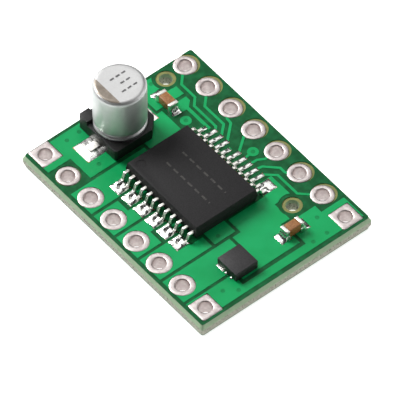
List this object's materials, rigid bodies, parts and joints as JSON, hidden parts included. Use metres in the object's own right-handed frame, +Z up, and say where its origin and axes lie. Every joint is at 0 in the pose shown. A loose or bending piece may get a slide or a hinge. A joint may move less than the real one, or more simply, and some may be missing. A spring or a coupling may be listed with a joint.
{
  "type": "stepper motor driver carrier board",
  "caption": "Small green two-layer carrier board with a dual H-bridge driver chip, a can capacitor, ceramic capacitors, a protection transistor and two rows of plated header holes",
  "frame": {"origin": "centre of the board's outline, on the plane the board stands on", "axes": "+X along the board's long side, towards the end with the protection transistor; +Y towards the row of logic holes; +Z up, out of the component side"},
  "size_m": [0.02, 0.0154, 0.0064],
  "materials": {
    "laminate": "woven glass epoxy, sawn edges",
    "copper": "etched copper foil",
    "solder_mask": "green lacquer, semi-gloss",
    "tin_plate": "matt tin",
    "solder": "reflowed solder, bright",
    "moulding": "moulded black epoxy",
    "silicon": "polished silicon",
    "die_glue": "silver-filled adhesive",
    "gold_wire": "drawn wire",
    "can_metal": "drawn aluminium, satin",
    "rubber_seal": "moulded rubber",
    "foil_winding": "wound foil and paper",
    "base_plastic": "moulded black plastic",
    "print": "printed ink",
    "ceramic_brown": "fired ceramic",
    "electrode": "fired nickel film"
  },
  "bodies": {
    "root": {"header_holes_logic": "tin_plate", "header_holes_power": "tin_plate", "header_holes_ground": "tin_plate", "laminate": "laminate", "copper_ground_left": "copper", "copper_ground_right": "copper", "copper_ground_chip": "copper", "copper_supply_right": "copper", "copper_supply_left": "copper", "copper_supply_in": "copper", "copper_logic_supply": "copper", "copper_output_a1": "copper", "copper_output_a2": "copper", "copper_output_b2": "copper", "copper_output_b1": "copper", "copper_signal_tracks": "copper", "copper_bottom_ground": "copper", "copper_bottom_track": "copper", "solder_mask_top": "solder_mask", "solder_mask_bottom": "solder_mask", "plated_vias": "copper", "chip_body": "moulding", "chip_leads_logic": "tin_plate", "chip_leads_power": "tin_plate", "chip_paddle": "tin_plate", "chip_glue": "die_glue", "chip_die": "silicon", "chip_wires": "gold_wire", "chip_solder_logic": "solder", "chip_solder_power": "solder", "can_shell": "can_metal", "can_seal": "rubber_seal", "can_winding": "foil_winding", "can_base": "base_plastic", "can_terminal_minus": "tin_plate", "can_terminal_plus": "tin_plate", "can_mark": "print", "can_solder": "solder", "ceramic_left_body": "ceramic_brown", "ceramic_left_plates": "electrode", "ceramic_left_ends": "tin_plate", "ceramic_left_solder": "solder", "ceramic_right_body": "ceramic_brown", "ceramic_right_plates": "electrode", "ceramic_right_ends": "tin_plate", "ceramic_right_solder": "solder", "transistor_body": "moulding", "transistor_drain": "tin_plate", "transistor_lands": "tin_plate", "transistor_die": "silicon", "transistor_clip": "copper", "transistor_solder": "solder"}
  },
  "joints": []
}
